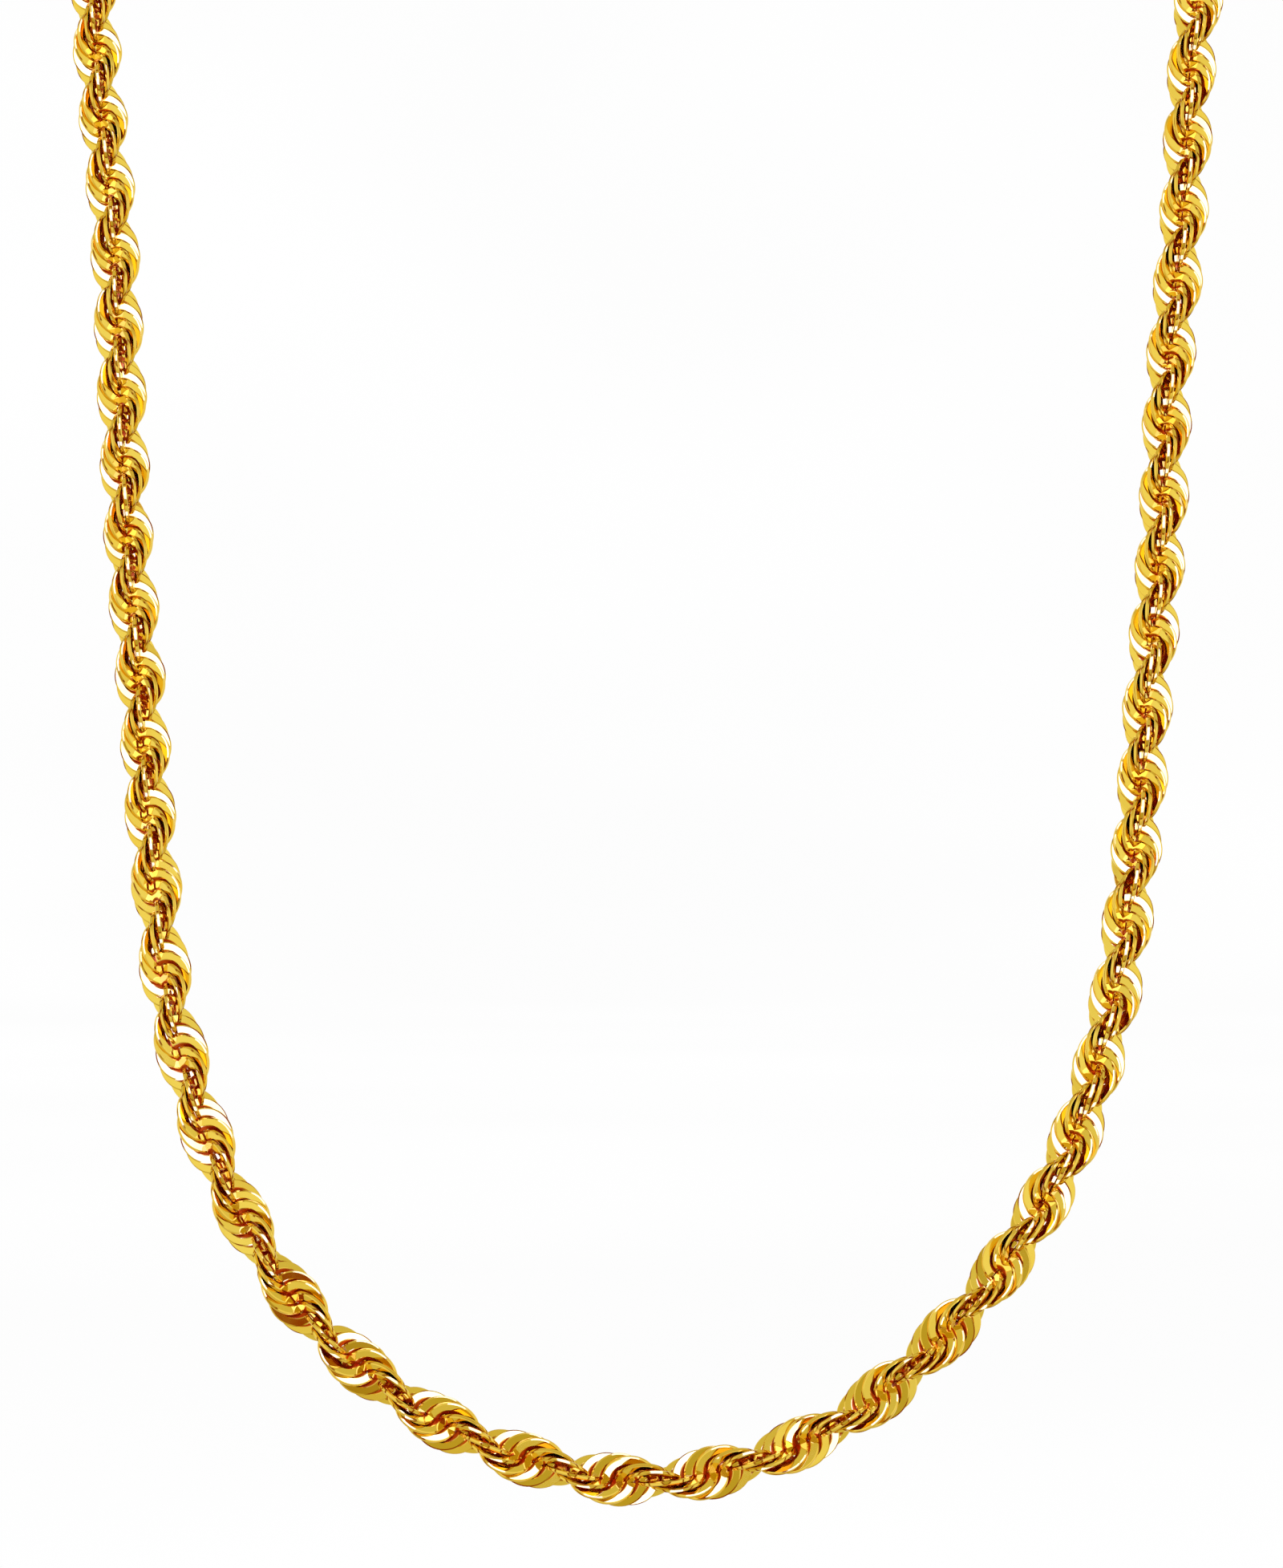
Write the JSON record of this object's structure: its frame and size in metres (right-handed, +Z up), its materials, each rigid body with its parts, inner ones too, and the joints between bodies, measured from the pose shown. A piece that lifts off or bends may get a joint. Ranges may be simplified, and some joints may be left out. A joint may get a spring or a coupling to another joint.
{
  "type": "rope chain necklace",
  "caption": "Gold rope chain necklace of interlinked flat links twisted into a two-strand rope, closed at the nape by a barrel clasp, in the shape it takes when worn.",
  "frame": {"origin": "middle of the clasp, where the necklace sits on the nape of the neck", "axes": "+Z up, -Y towards the wearer's front, +X towards the wearer's left"},
  "size_m": [0.1, 0.0899, 0.1808],
  "materials": {
    "link_gold": "polished yellow gold with cut and polished faces",
    "clasp_gold": "polished yellow gold"
  },
  "bodies": {
    "root": {"rope_chain": "link_gold", "end_cap_left": "clasp_gold", "end_cap_right": "clasp_gold", "clasp": "clasp_gold"}
  },
  "joints": []
}
